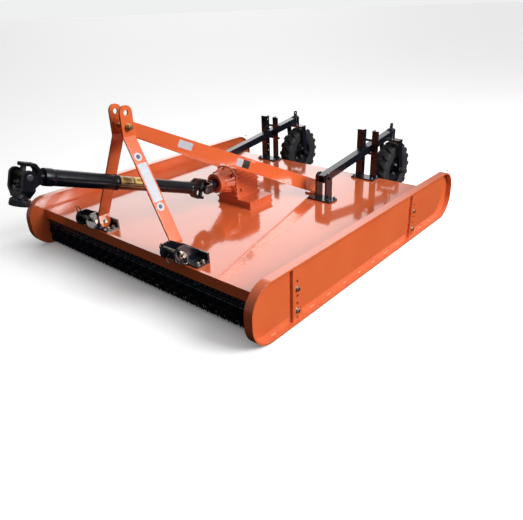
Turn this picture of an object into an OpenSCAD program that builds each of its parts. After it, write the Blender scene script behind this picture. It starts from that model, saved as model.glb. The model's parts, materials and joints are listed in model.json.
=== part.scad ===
// Rotary slasher for a tractor's three-point linkage.
// Front is -Y (drive shaft), rear is +Y (tail wheels), +Z is up, the ground is z = 0.

/* [Deck and sides] */
// overall width over the side skids
overall_w = 1870; // [1800:10:2200]
// length of the deck plate, front lip to rear lip
deck_len = 1712; // [1600:4:1760]
// height of the deck's top surface over the ground
deck_z = 231; // [200:1:300]
// thickness of the deck plate
deck_t = 6; // [4:1:10]
// depth of the folded lips
lip_h = 60; // [40:1:80]
// width of the flat bar that rims each side
skid_w = 48; // [40:1:70]
// height of each side
skid_h = 312; // [260:2:380]
// how far each side runs ahead of the front lip
skid_ahead = 112; // [60:2:180]
// overall length of each side
skid_len = 2056; // [1800:2:2400]
// corner radius of each side
skid_r = 134; // [80:1:150]
// thickness of the rim bar
rim_t = 9; // [6:1:14]
// setback of the side plate from the rim's outer edge
plate_in = 30; // [10:1:36]
// thickness of the side plate
plate_t = 6; // [4:1:10]

/* [Height bars] */
// width of a height bar
hbar_w = 68; // [50:1:90]
// distance of the front bars behind the front lip
hbar_y0 = 190; // [120:2:300]
// spacing of the front and rear bars
hbar_step = 1190; // [1000:5:1300]
// holes in each bar
hbar_holes = 6; // [4:1:8]
// pitch of the holes
hbar_pitch = 39; // [30:1:44]

/* [Chain guards] */
// strands in each guard
strands = 49; // [30:1:60]
// height of the strands' lower ends over the ground
chain_z = 9; // [6:1:60]
// height of the rail's lower edge over the ground
rail_z = 118; // [90:1:150]

/* [Linkage] */
// height of the top link pin over the lower pins, category 2
mast_h = 610; // [460:1:685]
// distance between the centres of the lower clevises
lower_span = 728; // [680:2:880]
// height of the lower pins over the ground
lower_z = 304; // [280:1:330]
// distance of the lower pins ahead of the front lip
lower_y = 23; // [10:1:60]
// diameter of the lower pins, category 1
lower_d = 22; // [22:1:28]
// diameter of the top link holes
top_d = 26; // [19:1:32]
// clear gap between the mast's ears
ear_gap = 72; // [50:1:90]
// width of the mast's flat bars
mast_w = 70; // [50:1:90]
// thickness of the mast's flat bars
mast_t = 10; // [8:1:16]
// distance of the mast behind the front lip
mast_y = 46; // [30:1:80]

/* [Gearbox and rotor] */
// distance of the rotor's axis ahead of the deck's middle
rotor_off = 10; // [0:1:10]
// height of the input shaft over the ground
input_z = 394; // [370:1:410]
// width of the gearbox pedestal
ped_w = 274; // [200:2:320]
// depth of the gearbox pedestal
ped_d = 212; // [190:2:260]
// height of the gearbox pedestal
ped_h = 45; // [30:1:60]
// distance of the pedestal's middle from the centre line
ped_x = 44; // [0:1:50]
// width of the gearbox housing
case_w = 144; // [130:2:180]
// depth of the gearbox housing
case_d = 204; // [190:2:230]
// height of the gearbox housing
case_h = 192; // [180:2:220]
// radius of the input flange
flange_r = 86; // [76:1:96]
// clearance between the blade tips and the chain guards
tip_gap = 15; // [8:1:60]
// radius of the blade pivots' circle
pivot_r = 450; // [400:5:500]
// height of the blades' underside over the ground
blade_z = 74; // [60:1:110]

/* [Drive shaft] */
// distance between the two universal joints
shaft_len = 1065; // [950:5:1200]
// rise of the shaft towards the front, in degrees
shaft_rise = 19; // [10:0.5:24]
// radius of the outer guard tube
guard_r = 38; // [30:0.5:45]
// length of the outer guard tube
guard_len = 384; // [250:2:500]
// radius of the bore in the end yoke
spline_r = 17.5; // [15:0.5:23]

/* [Tail wheels] */
// distance of each arm from the centre line
arm_x = 428; // [380:1:480]
// side of the arms' square tube
tube_w = 48; // [40:1:60]
// distance of the arm pivots behind the front lip
arm_y = 1156; // [1050:2:1250]
// height of the arm pivots over the ground
arm_z = 370; // [340:1:400]
// distance of the castor spindles behind the rear lip
spin_out = 293; // [260:1:400]
// clearance between the tyres and the forks' crowns
crown_gap = 20; // [12:1:40]
// distance of the guide posts ahead of the rear lip
guide_in = 40; // [30:1:100]
// height of the guide posts over the deck
guide_h = 318; // [280:1:400]
// radius of the tyres
tyre_r = 200; // [180:1:210]
// width of the tyres
tyre_w = 105; // [80:1:120]
// castor trail
trail = 40; // [20:1:80]

/* [Hidden] */
orange = [0.92, 0.36, 0.16];
black = [0.07, 0.07, 0.08];
rubber = [0.06, 0.06, 0.065];
zinc = [0.68, 0.66, 0.6];
steel = [0.35, 0.36, 0.38];
half_w = overall_w / 2;
deck_hw = half_w - skid_w;
deck_low = deck_z - deck_t;
fit = 0.05;
gap = 0.3;
front_y = -skid_ahead;
// rotor, centred but for its offset
rotor_y = deck_len / 2 - rotor_off;
tip_r = rotor_y - deck_t - 10 - tip_gap;
// front face of the input hub, and its recess
hub_len = 114;
hub_recess = 14;
hub_front = rotor_y - case_d / 2 - hub_len + hub_recess;
// universal joints, and the larger yoke on the shaft's front end
uj_in = 42;
uj_t = 14;
uj_er = 24;
uj_base = 52;
uj_hub = 112;
end_in = 50;
end_t = 16;
end_er = 29;
end_base = 66;
uj_rear_y = rotor_y - 326;
shaft_dir_y = -cos(shaft_rise);
shaft_dir_z = sin(shaft_rise);
uj_front_y = uj_rear_y + shaft_len * shaft_dir_y;
uj_front_z = input_z + shaft_len * shaft_dir_z;
// arms
guide_y = deck_len - guide_in;
spin_y = deck_len + spin_out;
crown_z = 2 * tyre_r + crown_gap;
sleeve_lo = 34;
sleeve_hi = 24;
arm_rise = crown_z + 23 + sleeve_lo - arm_z;
arm_run = spin_y - arm_y;
arm_len = norm([arm_run, arm_rise]);
arm_ang = atan2(arm_rise, arm_run);
tube_t = 5;
post_in = tube_w / 2 + 8;
post_w = 48;
post_d = 38;
post_t = 6;
wheel_y = spin_y + trail;
// the whole object's middle along Y is moved to y = 0
collar_r = 44;
collar_to = 130;
// the guards' ends along the shaft
outer_to = shaft_len - 90;
outer_from = outer_to - guard_len;
bore_to = outer_to - 25;
inner_to = bore_to - 75;
ext_front = uj_front_y - sin(shaft_rise) * collar_to - cos(shaft_rise) * collar_r;
ext_rear = wheel_y + tyre_r;
shift_y = -(ext_front + ext_rear) / 2;
// lower clevises
clevis_gap = 84;
clevis_t = 12;
clevis_in = lower_span / 2 - clevis_gap / 2 - clevis_t;
foot_x = clevis_in - mast_t;
bend_z = 805;
top_z = lower_z + mast_h;
pin_y = -lower_y;
// stays
stay_t = 10;
stay_bend = 50;
stay_foot = [312, 1248];
bolt_y = mast_y;
bolt_z = 848;
stay_bolt_r = 10;
hitch_w = 238;

module at_frame() {
  translate([0, shift_y, 0])
  children();
}

// a profile in the YZ plane, pulled along +X
module yz(x0, len) {
  translate([x0, 0, 0])
  rotate([90, 0, 90])
  linear_extrude(len)
  children();
}

// a cylinder along +X
module xcyl(x0, len, r) {
  translate([x0, 0, 0])
  rotate([0, 90, 0])
  cylinder(h = len, r = r, $fn = 48);
}

module side(s) {
  if (s > 0) children();
  else mirror([1, 0, 0]) children();
}

module round_rect(l, h, r) {
  union() {
    translate([r, 0]) square([l - 2 * r, h]);
    translate([0, r]) square([l, h - 2 * r]);
    for (p = [[r, r], [l - r, r], [r, h - r], [l - r, h - r]])
      translate(p) circle(r = r, $fn = 96);
  }
}

module deck_pan() {
  color(orange) at_frame() {
    difference() {
      union() {
        translate([-deck_hw, 0, deck_low]) cube([2 * deck_hw, deck_len, deck_t]);
        translate([-deck_hw, 0, deck_z - lip_h]) cube([2 * deck_hw, deck_t, lip_h - 1]);
        translate([-deck_hw, deck_len - deck_t, deck_z - lip_h])
          cube([2 * deck_hw, deck_t, lip_h - 1]);
      }
      translate([0, rotor_y, deck_low - 1]) cylinder(h = deck_t + 2, r = 60, $fn = 64);
    }
  }
}

module skid(s) {
  color(orange) at_frame() side(s) {
    difference() {
      yz(deck_hw, skid_w)
      translate([front_y, 0])
      round_rect(skid_len, skid_h, skid_r);
      yz(deck_hw - 1, skid_w - plate_in - plate_t + 1)
      translate([front_y + rim_t, rim_t])
      round_rect(skid_len - 2 * rim_t, skid_h - 2 * rim_t, skid_r - rim_t);
      yz(half_w - plate_in, plate_in + 1)
      translate([front_y + rim_t, rim_t])
      round_rect(skid_len - 2 * rim_t, skid_h - 2 * rim_t, skid_r - rim_t);
    }
    yz(deck_hw, skid_w - plate_in - plate_t)
    translate([0, deck_z - lip_h])
    square([deck_len, lip_h]);
  }
}

module hbar(s, k) {
  color(orange) at_frame() side(s)
  difference() {
    translate([half_w - plate_in, hbar_y0 + k * hbar_step, rim_t])
      cube([14, hbar_w, skid_h - 2 * rim_t]);
    for (i = [0 : hbar_holes - 1])
      translate([0, hbar_y0 + k * hbar_step + hbar_w / 2 - 1, 21 + i * hbar_pitch])
      xcyl(half_w - plate_in - 1, 16, 8);
  }
}

// strands of links, each drawn as one bar that narrows where its links join
module chain_guard(y) {
  drop = rail_z - chain_z + 1;
  color(black) at_frame() {
    translate([-deck_hw, y - 5, rail_z]) cube([2 * deck_hw, 10, deck_low - rail_z]);
    for (i = [0 : strands - 1])
      translate([-deck_hw + (i + 0.5) * 2 * deck_hw / strands, y + 4, chain_z])
      rotate([90, 0, 0])
      linear_extrude(8)
      polygon([[-9, 0], [9, 0], [5, drop / 2], [9, drop], [-9, drop], [-5, drop / 2]]);
  }
}

module mast(s) {
  color(orange) at_frame() side(s)
  difference() {
    union() {
      translate([ear_gap / 2, mast_y - mast_w / 2, bend_z])
        cube([mast_t, mast_w, top_z - bend_z]);
      translate([0, mast_y, top_z]) xcyl(ear_gap / 2, mast_t, mast_w / 2);
      translate([0, mast_y + mast_w / 2, 0])
      rotate([90, 0, 0])
      linear_extrude(mast_w)
      polygon([[ear_gap / 2, bend_z], [ear_gap / 2 + mast_t, bend_z + 2.5],
        [ear_gap / 2 + mast_t, bend_z - 2.5], [foot_x + mast_t, 318], [foot_x + mast_t, 278],
        [foot_x, 278], [foot_x, 316]]);
      translate([0, mast_y, 278]) xcyl(foot_x, mast_t, mast_w / 2);
    }
    translate([0, mast_y, top_z]) xcyl(ear_gap / 2 - 1, mast_t + 2, top_d / 2);
    translate([0, bolt_y, bolt_z]) xcyl(ear_gap / 2 - 1, mast_t + 2, stay_bolt_r);
    translate([0, mast_y, 278]) xcyl(foot_x - 1, mast_t + 2, 9);
  }
}

module mast_bolt() {
  color(zinc) at_frame()
  translate([0, bolt_y, bolt_z]) {
    xcyl(-ear_gap / 2 - mast_t - 14, ear_gap + 2 * mast_t + 28, stay_bolt_r);
    xcyl(-ear_gap / 2 - mast_t - 9, 9, 16);
    xcyl(ear_gap / 2 + mast_t, 9, 16);
  }
}

// a flat bar on edge: straight between the ears, then bent out to its foot on the deck
module stay(s) {
  x1 = ear_gap / 2 - gap;
  x0 = x1 - stay_t;
  y0 = bolt_y + stay_bend;
  dx = stay_foot[0] - x0;
  dy = stay_foot[1] - y0;
  yaw = -atan2(dx, dy);
  run = norm([dx, dy]);
  slope = (bolt_z - deck_z - 42) / (stay_foot[1] - bolt_y);
  z0 = bolt_z - slope * stay_bend;
  color(orange) at_frame() side(s)
  difference() {
    union() {
      yz(x0, stay_t)
      polygon([[bolt_y - 24, bolt_z - 22], [bolt_y - 10, bolt_z - 36], [y0, z0 - 36], [y0, z0 + 36],
        [bolt_y - 14, bolt_z + 36], [bolt_y - 26, bolt_z + 20]]);
      translate([x0, y0, 0])
      rotate([0, 0, yaw])
      yz(0, stay_t)
      polygon([[0, z0 - 36], [run - 40, deck_z + 5], [run, deck_z + 5], [run, deck_z + 78], 
        [0, z0 + 36]]);
      translate([stay_foot[0] - 42, stay_foot[1] - 70, deck_z]) cube([70, 90, 10]);
    }
    translate([0, bolt_y, bolt_z]) xcyl(-50, 150, stay_bolt_r);
  }
}

module hitch(s) {
  color(black) at_frame() side(s)
  difference() {
    union() {
      translate([lower_span / 2 - hitch_w / 2, 12, deck_z]) cube([hitch_w, 84, 10]);
      translate([lower_span / 2 - hitch_w / 2, 86, deck_z]) cube([hitch_w, 10, 55]);
      for (x = [clevis_in, clevis_in + clevis_t + clevis_gap])
        union() {
          yz(x, clevis_t)
          polygon([[pin_y, lower_z + 36], [pin_y + 30, lower_z + 36], [90, deck_z + 56],
            [90, deck_z + 2], [12, deck_z + 2], [pin_y, lower_z - 48]]);
          translate([0, pin_y, lower_z - 6]) xcyl(x, clevis_t, 42);
        }
    }
    translate([0, pin_y, lower_z]) xcyl(clevis_in - 1, clevis_gap + 2 * clevis_t + 2, lower_d / 2);
    translate([0, mast_y, 278]) xcyl(clevis_in - 1, clevis_t + 2, 9);
  }
}

module hitch_pin(s) {
  color(zinc) at_frame() side(s)
  translate([0, pin_y, lower_z]) {
    xcyl(clevis_in - 34, clevis_gap + 2 * clevis_t + 58, lower_d / 2);
  }
}

module gearbox_base() {
  color(orange) at_frame()
  difference() {
    union() {
      translate([ped_x - ped_w / 2, rotor_y - ped_d / 2, deck_z]) cube([ped_w, ped_d, 8]);
      translate([ped_x - ped_w / 2 + 5, rotor_y - ped_d / 2 + 5, deck_z + 7])
        cube([ped_w - 10, ped_d - 10, ped_h - 15]);
      translate([ped_x - ped_w / 2, rotor_y - ped_d / 2, deck_z + ped_h - 10]) cube([ped_w, ped_d, 10]);
    }
    translate([0, rotor_y, deck_z - 1]) cylinder(h = ped_h + 2, r = 60, $fn = 64);
  }
}

// a block with round corners, centred on the rotor's axis
module case_slab(grow, z, h, r) {
  translate([-case_w / 2 - grow, rotor_y - case_d / 2 - grow, z])
  linear_extrude(h)
  round_rect(case_w + 2 * grow, case_d + 2 * grow, r);
}

module gearbox_case() {
  z0 = deck_z + ped_h;
  rib = (case_h - 40) / 6;
  color(orange) at_frame()
  difference() {
    union() {
      difference() {
        union() {
          case_slab(8, z0, 14, 16);
          case_slab(0, z0 + 13, case_h - 13, 16);
          for (i = [1 : 6]) case_slab(7, z0 + 16 + i * rib - 7, 7, 18);
        }
        translate([-case_w, rotor_y - case_d / 2 - 20, z0 - 1]) cube([2 * case_w, 20, case_h + 2]);
      }
      translate([0, rotor_y + 6, z0 + case_h - 1]) cylinder(h = 13, r = 58, $fn = 64);
      translate([0, rotor_y, deck_z - 30]) cylinder(h = ped_h + 32, r = 56, $fn = 64);
    }
    translate([0, rotor_y, deck_z - 31]) cylinder(h = 130, r = 24 + fit, $fn = 64);
  }
}

// flange, cone with bolt pockets and end disc, seen from the front end
module input_hub() {
  color(orange) at_frame()
  translate([0, rotor_y - case_d / 2, input_z])
  rotate([90, 0, 0])
  difference() {
    union() {
      cylinder(h = 15, r = flange_r, $fn = 64);
      translate([0, 0, 14]) cylinder(h = 64, r1 = flange_r - 6, r2 = flange_r - 26, $fn = 64);
      translate([0, 0, 77]) cylinder(h = hub_len - 77, r = flange_r - 27, $fn = 64);
    }
    for (i = [0 : 5])
      rotate([0, 0, 60 * i + 30])
      translate([flange_r - 15, 0, 16]) cylinder(h = hub_len, r = 12, $fn = 32);
    translate([0, 0, hub_len - hub_recess]) cylinder(h = 20, r = flange_r - 41, $fn = 64);
  }
}

module arm_pivot(s) {
  x0 = tube_w / 2 + 5;
  color(black) at_frame() side(s)
  translate([arm_x, arm_y, 0]) {
    translate([-84, -56, deck_z]) cube([168, 84, 10]);
    for (x = [-x0 - 12, x0])
      union() {
        translate([x, -32, deck_z + 9]) cube([12, 64, arm_z - deck_z - 9]);
        translate([0, 0, arm_z]) xcyl(x, 12, 32);
      }
    translate([0, 0, arm_z]) xcyl(-x0 - 22, 2 * x0 + 44, 9);
    for (x = [-x0, x0 - 4.7]) translate([0, 0, arm_z]) xcyl(x, 4.7, 17);
  }
}

// two angle irons with their inner legs along the arm, and the pins that stop it
module arm_guide(s) {
  zt = arm_z + (guide_y - arm_y) * tan(arm_ang);
  half_h = tube_w / 2 / cos(arm_ang);
  pins = [zt + half_h + 28, zt - half_h - 14];
  color(black) at_frame() side(s)
  translate([arm_x, guide_y, 0]) {
    translate([-86, -48, deck_z]) cube([172, 48 + guide_in - 2, 10]);
    for (k = [-1, 1])
      side(k)
      difference() {
        union() {
          translate([post_in, 0, deck_z + 9]) cube([post_w, post_t, guide_h]);
          translate([post_in, 0, deck_z + 9]) cube([post_t, post_d, guide_h]);
        }
        for (i = [0 : 5])
          translate([0, post_d - 16, deck_z + 60 + i * 48]) xcyl(post_in - 1, post_t + 2, 6);
      }
    for (z = pins) translate([0, post_d / 2, z + post_d / 2 * tan(arm_ang)]) xcyl(-80, 160, 8);
  }
}

// square tube, open at the pivot, with the spindle's sleeve across its rear end
module arm(s) {
  bore = tube_w - 2 * tube_t;
  color(black) at_frame() side(s)
  translate([arm_x, arm_y, arm_z])
  difference() {
    union() {
      rotate([arm_ang, 0, 0])
      difference() {
        translate([-tube_w / 2, -28, -tube_w / 2]) cube([tube_w, arm_len + 18, tube_w]);
        translate([-bore / 2, -29, -bore / 2]) cube([bore, arm_len - 20, bore]);
      }
      translate([0, arm_run, arm_rise - sleeve_lo])
        cylinder(h = sleeve_lo + sleeve_hi, r = 30, $fn = 48);
    }
    xcyl(-tube_w, 2 * tube_w, 9 + fit);
    translate([0, arm_run, -50]) cylinder(h = 300, r = 15 + fit, $fn = 48);
  }
}

// crown, two legs and the spindle with its collar, washer and eye plate
module fork(s) {
  leg_x = tyre_w / 2 + 16;
  sleeve_z = arm_z + arm_rise - sleeve_lo;
  end_z = arm_z + arm_rise + sleeve_hi + gap;
  color(black) at_frame() side(s)
  translate([arm_x, spin_y, 0]) {
    translate([-leg_x - 10, -26, crown_z]) cube([2 * leg_x + 20, 62, 12]);
    for (x = [-leg_x - 10, leg_x])
      difference() {
        union() {
          yz(x, 10)
          polygon([[-16, crown_z + 6], [32, crown_z + 6], [trail + 21, tyre_r], [trail - 21, tyre_r]]);
          translate([0, trail, tyre_r]) xcyl(x, 10, 21);
        }
        translate([0, trail, tyre_r]) xcyl(x - 1, 12, 11 + fit);
      }
    translate([0, 0, crown_z + 11]) cylinder(h = end_z - crown_z - 10, r = 15, $fn = 48);
    translate([0, 0, crown_z + 11]) cylinder(h = sleeve_z - gap - crown_z - 11, r = 30, $fn = 48);
    translate([0, 0, end_z]) cylinder(h = 5, r = 24, $fn = 48);
    difference() {
      union() {
        translate([-4, -17, end_z + 4]) cube([8, 34, 24]);
        translate([0, 0, end_z + 28]) xcyl(-4, 8, 17);
      }
      translate([0, 0, end_z + 28]) xcyl(-5, 10, 9);
    }
  }
}

module wheel_rim(s) {
  rim_r = tyre_r / 2;
  color(black) at_frame() side(s)
  translate([arm_x, wheel_y, tyre_r]) {
    xcyl(-tyre_w / 2 - 31, tyre_w + 62, 11);
    xcyl(-tyre_w / 2 - 15, tyre_w + 30, 24);
    xcyl(-8, 16, rim_r - 6);
    difference() {
      xcyl(-tyre_w / 2 + 9, tyre_w - 18, rim_r);
      xcyl(-tyre_w / 2 + 8, tyre_w / 2 - 16, rim_r - 9);
      xcyl(8, tyre_w / 2 - 16, rim_r - 9);
    }
  }
}

// two rows of lugs, set half a pitch apart, on a carcass with crowned side walls
module tyre(s) {
  n = 18;
  half = tyre_w / 2;
  valley = tyre_r - 12;
  color(rubber) at_frame() side(s)
  translate([arm_x, wheel_y, tyre_r])
  rotate([0, 90, 0]) {
    for (k = [0, 1])
      translate([0, 0, k * (half - 4) - (half - 4)])
      linear_extrude(half - 4)
      difference() {
        polygon([
          for (i = [0 : n - 1])
            for (q = [[0, valley], [0.08, tyre_r], [0.5, tyre_r], [0.58, valley]])
              let(a = 360 / n * (i + q[0] + k / 2)) q[1] * [cos(a), sin(a)]]);
        circle(r = tyre_r / 2 + 8, $fn = 96);
      }
    rotate_extrude($fn = 96)
    polygon([[tyre_r / 2, 10 - half], [tyre_r * 0.77, -half], [valley - 3, 7 - half],
      [valley - 3, half - 7], [tyre_r * 0.77, half], [tyre_r / 2, half - 10]]);
  }
}

module rotor_hub() {
  color(steel) at_frame()
  translate([0, rotor_y, 0]) {
    translate([0, 0, blade_z + 30]) cylinder(h = deck_z + 90 - blade_z - 30, r = 24, $fn = 64);
    translate([0, 0, blade_z + 20]) cylinder(h = 60, r = 70, $fn = 64);
    translate([-pivot_r - 50, -50, blade_z + 14]) cube([2 * pivot_r + 100, 100, 16]);
    for (x = [-pivot_r, pivot_r]) {
      translate([x, 0, blade_z - 14]) cylinder(h = 60, r = 15, $fn = 48);
      translate([x, 0, blade_z - 14]) cylinder(h = 13.5, r = 26, $fn = 48);
    }
  }
}

module blade(s) {
  color(steel) at_frame()
  translate([0, rotor_y, blade_z])
  side(s)
  difference() {
    union() {
      translate([pivot_r, 0, 0]) cylinder(h = 13, r = 45, $fn = 48);
      translate([pivot_r, -45, 0]) cube([tip_r - pivot_r - 6, 90, 13]);
    }
    translate([pivot_r, 0, -1]) cylinder(h = 15, r = 15 + fit, $fn = 48);
  }
}

// a yoke with its joint centre at the origin, ears across X, shank along +Y
module yoke(in, t, er, base, hub_r, hub_to) {
  out = in + t;
  difference() {
    union() {
      for (x = [-out, in])
        xcyl(x, t, er);
      translate([0, 0, -er])
      linear_extrude(2 * er)
      difference() {
        polygon([[-out, 0], [-out, base - 8], [-hub_r - 4, base + 20], [-hub_r + 2, base + 28],
          [hub_r - 2, base + 28], [hub_r + 4, base + 20], [out, base - 8], [out, 0]]);
        polygon([[-in, -1], [-in, base - 14], [-in + 16, base], [in - 16, base], [in, base - 14],
          [in, -1]]);
      }
      translate([0, base + 20, 0])
        rotate([-90, 0, 0]) cylinder(h = hub_to - base - 20, r = hub_r, $fn = 48);
    }
    xcyl(-80, 160, 12 + fit);
  }
}

// the arm across X lies in ears that are half_x from the middle, the other in the shaft's
module cross_piece(half_x) {
  xcyl(2 - half_x, 2 * half_x - 4, 12);
  rotate([0, 90, 0]) xcyl(2 - uj_in - uj_t, 2 * (uj_in + uj_t) - 4, 12);
  sphere(r = 20, $fn = 48);
}

module at_rear_joint() {
  at_frame()
  translate([0, uj_rear_y, input_z])
  children();
}

// local +Y runs from the rear joint to the front along the shaft
module along_shaft() {
  at_rear_joint()
  rotate([-shaft_rise, 0, 0])
  rotate([0, 0, 180])
  children();
}

module pto_yoke_rear() {
  color(black) at_rear_joint() {
    yoke(uj_in, uj_t, uj_er, uj_base, 30, uj_hub);
    translate([0, uj_hub - 1, 0]) rotate([-90, 0, 0])
      cylinder(h = hub_front - uj_rear_y - uj_hub + 1, r = 22, $fn = 48);
  }
}

module pto_cross_rear() {
  color(steel) along_shaft() cross_piece(uj_in + uj_t);
}

module pto_inner() {
  color(black) along_shaft() {
    rotate([0, 90, 0]) yoke(uj_in, uj_t, uj_er, uj_base, 30, 90);
    translate([0, 80, 0]) rotate([-90, 0, 0]) cylinder(h = inner_to - 80, r = guard_r - 4, $fn = 64);
  }
}

module pto_outer() {
  color(black) along_shaft()
  difference() {
    union() {
      translate([0, outer_from, 0]) rotate([-90, 0, 0])
        cylinder(h = guard_len, r = guard_r, $fn = 64);
      translate([0, shaft_len, 0]) rotate([0, 0, 180]) rotate([0, 90, 0])
        yoke(uj_in, uj_t, uj_er, uj_base, 26, 120);
    }
    translate([0, outer_from - 1, 0]) rotate([-90, 0, 0])
      cylinder(h = bore_to - outer_from + 1, r = guard_r - 4 + gap, $fn = 64);
  }
}

module pto_cross_front() {
  color(steel) along_shaft() translate([0, shaft_len, 0]) cross_piece(end_in + end_t);
}

module pto_yoke_front() {
  color(black) along_shaft()
  translate([0, shaft_len, 0])
  rotate([-90, 0, 0])
  difference() {
    union() {
      yoke(end_in, end_t, end_er, end_base, 33, collar_to - 4);
      translate([0, collar_to - 20, 0]) rotate([-90, 0, 0]) cylinder(h = 20, r = collar_r, $fn = 48);
    }
    translate([0, end_base - 1, 0]) rotate([-90, 0, 0]) cylinder(h = 80, r = spline_r, $fn = 48);
  }
}

deck_pan();
skid(-1);  // skid_left
skid(1);  // skid_right
hbar(-1, 0);  // hbar_front_left
hbar(1, 0);  // hbar_front_right
hbar(-1, 1);  // hbar_rear_left
hbar(1, 1);  // hbar_rear_right
chain_guard(deck_t + 5);  // chain_front
chain_guard(deck_len - deck_t - 5);  // chain_rear
mast(-1);  // mast_left
mast(1);  // mast_right
stay(-1);  // stay_left
stay(1);  // stay_right
mast_bolt();
hitch(-1);  // hitch_left
hitch(1);  // hitch_right
hitch_pin(-1);  // hitch_pin_left
hitch_pin(1);  // hitch_pin_right
gearbox_base();
gearbox_case();
input_hub();
arm_pivot(-1);  // arm_pivot_left
arm_pivot(1);  // arm_pivot_right
arm_guide(-1);  // arm_guide_left
arm_guide(1);  // arm_guide_right
arm(-1);  // arm_left
arm(1);  // arm_right
fork(-1);  // fork_left
fork(1);  // fork_right
wheel_rim(-1);  // wheel_rim_left
wheel_rim(1);  // wheel_rim_right
tyre(-1);  // tyre_left
tyre(1);  // tyre_right
rotor_hub();
blade(1);  // blade_a
blade(-1);  // blade_b
pto_yoke_rear();
pto_cross_rear();
pto_inner();
pto_outer();
pto_cross_front();
pto_yoke_front();
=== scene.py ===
import json
import math
import bpy
import bmesh
from mathutils import Matrix, Vector


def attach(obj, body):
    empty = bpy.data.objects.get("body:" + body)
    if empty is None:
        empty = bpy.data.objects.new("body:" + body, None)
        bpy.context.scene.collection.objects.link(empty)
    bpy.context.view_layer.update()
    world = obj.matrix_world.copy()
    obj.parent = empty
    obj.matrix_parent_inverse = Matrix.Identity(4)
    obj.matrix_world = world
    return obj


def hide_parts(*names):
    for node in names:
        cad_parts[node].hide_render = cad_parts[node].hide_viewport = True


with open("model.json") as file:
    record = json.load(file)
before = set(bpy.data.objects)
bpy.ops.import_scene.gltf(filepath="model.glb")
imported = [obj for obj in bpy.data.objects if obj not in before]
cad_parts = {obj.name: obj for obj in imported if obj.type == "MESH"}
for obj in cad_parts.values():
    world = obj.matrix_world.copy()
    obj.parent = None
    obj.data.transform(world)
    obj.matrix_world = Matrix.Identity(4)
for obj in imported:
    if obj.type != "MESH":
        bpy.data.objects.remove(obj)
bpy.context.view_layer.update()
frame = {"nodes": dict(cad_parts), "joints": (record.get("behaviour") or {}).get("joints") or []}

NODES = frame["nodes"]
SHIFT = -0.8370480          # the deck's front lip is at this y
ROTOR_Y, INPUT_Z = 846, 394
ARM_X, ARM_Y, ARM_Z, GUIDE_Y = 428, 1156, 370, 1672
SPIN_Y, WHEEL_Y, SLEEVE_Z = 2005, 2045, 477
TYRE_R, TYRE_W = 0.200, 0.105
SHAFT, RISE = 1.065, math.radians(19)


def P(x, y, z):
    """A point from millimetres, with y counted from the deck's front lip."""
    return Vector((x / 1000, y / 1000 + SHIFT, z / 1000))


# ---------------------------------------------------------------- camera
def look(az, el, roll):
    a, e, r = math.radians(az), math.radians(el), math.radians(roll)
    back = Vector((math.sin(a) * math.cos(e), -math.cos(a) * math.cos(e), math.sin(e)))
    right = Vector((0, 0, 1)).cross(back).normalized()
    up = back.cross(right)
    r2 = math.cos(r) * right + math.sin(r) * up
    u2 = -math.sin(r) * right + math.cos(r) * up
    return Matrix((r2, u2, back)).transposed()


cam = bpy.data.cameras.new("camera")
cam.sensor_width = 36
cam.sensor_fit = "HORIZONTAL"
cam.lens = 524.25 / 523 * 36
cam.clip_end = 200
cam_ob = bpy.data.objects.new("camera", cam)
bpy.context.scene.collection.objects.link(cam_ob)
cam_ob.matrix_world = Matrix.Translation((2.1749, -2.2945, 1.3878)) @ look(41.15, 26.78, -2.13).to_4x4()
bpy.context.scene.camera = cam_ob
bpy.context.scene.view_settings.view_transform = "Standard"
bpy.context.scene.view_settings.look = "None"


# ---------------------------------------------------------------- materials
def srgb(r, g, b):
    def f(v):
        v /= 255
        return v / 12.92 if v <= 0.04045 else ((v + 0.055) / 1.055) ** 2.4
    return (f(r), f(g), f(b), 1)


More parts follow.
